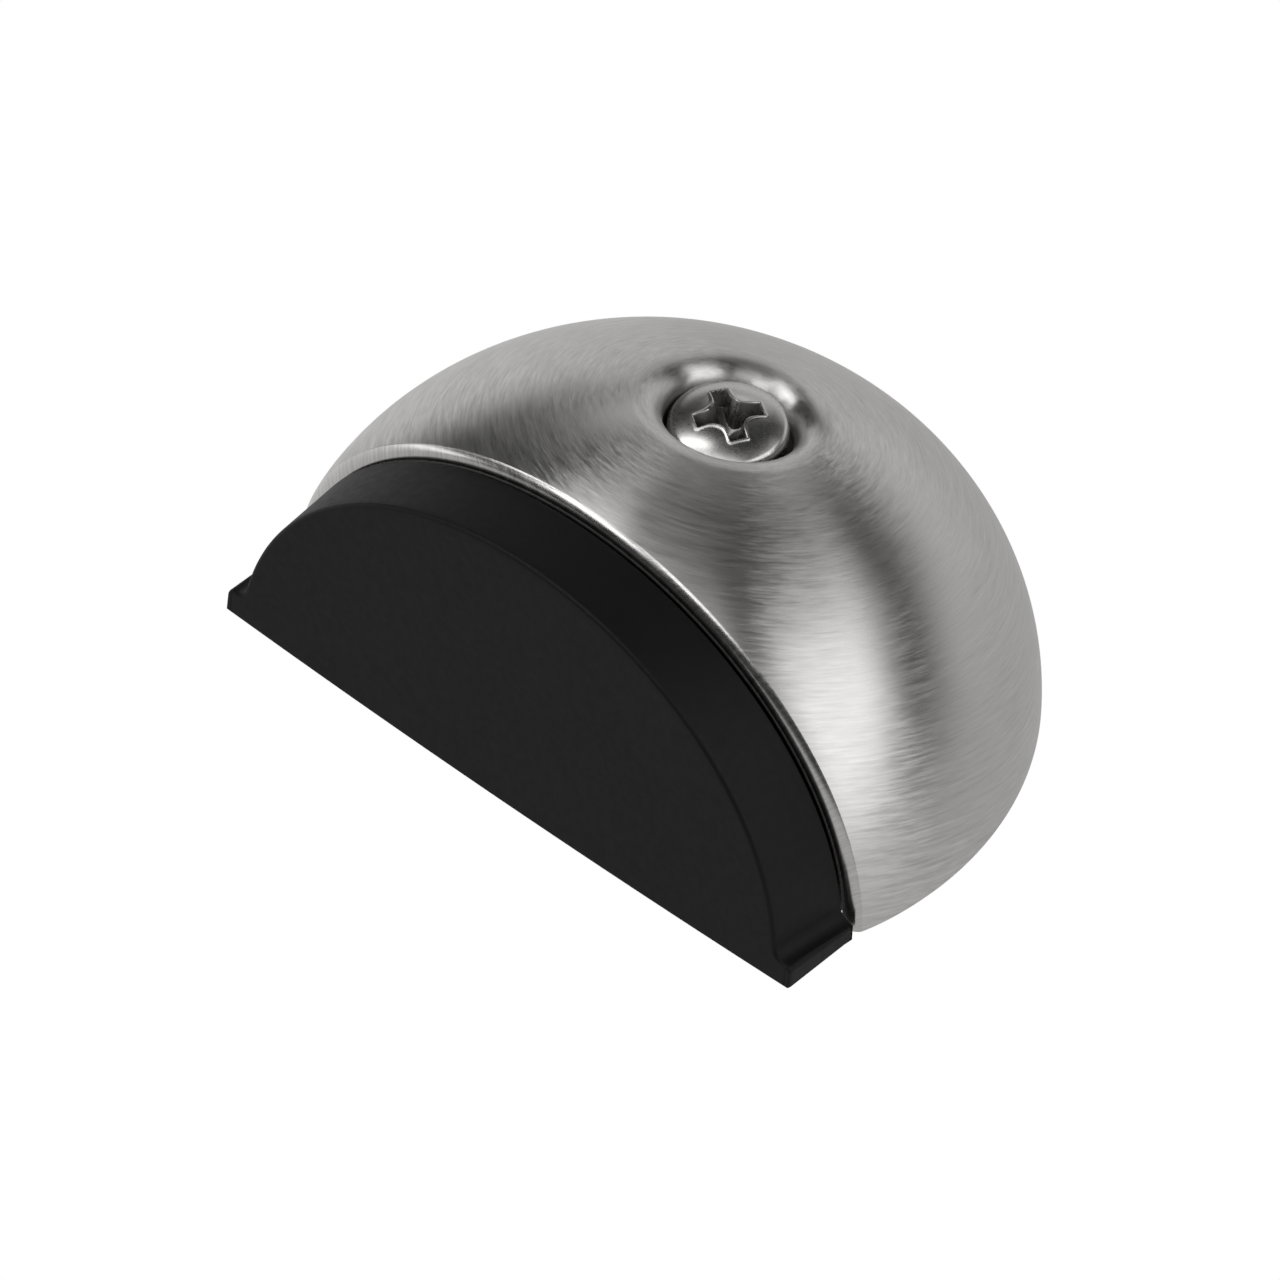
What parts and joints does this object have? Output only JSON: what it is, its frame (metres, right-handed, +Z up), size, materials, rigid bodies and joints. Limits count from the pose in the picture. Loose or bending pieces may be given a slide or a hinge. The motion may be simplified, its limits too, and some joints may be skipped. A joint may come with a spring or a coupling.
{
  "type": "floor door stop",
  "caption": "Half-dome metal floor door stop with a black rubber buffer across its flat front, held down by one raised-head screw set in a soft dimple.",
  "frame": {"origin": "axis of the dome where it meets the floor", "axes": "+Z up out of the floor, the rubber front faces -Y, X across the stop; symmetric about X = 0"},
  "size_m": [0.06, 0.0467, 0.0667],
  "materials": {
    "shell": "satin, brushed in rings round the screw",
    "rubber": "matt black moulded rubber",
    "carrier": "glass-filled nylon, as moulded",
    "zinc": "bright zinc plated",
    "screw_steel": "polished stainless",
    "plug": "grey nylon"
  },
  "bodies": {
    "stop_body": {"dome_shell": "shell", "buffer_carrier": "carrier", "carrier_screws": "zinc", "clamp_sleeve": "zinc", "locating_pins": "zinc", "floor_plug": "plug"},
    "buffer": {"rubber_buffer": "rubber"},
    "washer": {"screw_washer": "screw_steel"},
    "screw": {"fixing_screw": "screw_steel"}
  },
  "joints": [
    {"name": "buffer_press", "type": "slide", "parent": "stop_body", "child": "buffer", "axis": [0, 1, 0], "range_m": [0, 0.0004], "stiffness_N_per_m": 400000},
    {"name": "screw_travel", "type": "slide", "parent": "stop_body", "child": "washer", "axis": [0, 0, 1], "range_m": [0, 0.0264]},
    {"name": "screw_turn", "type": "hinge", "parent": "washer", "child": "screw", "pos_m": [0, 0.0076, 0.0216], "axis": [0, 0, 1], "range_deg": [0, 4321]}
  ],
  "couplings": [
    {"joint": "screw_turn", "follows": "screw_travel", "rad_per_m": 2856}
  ]
}
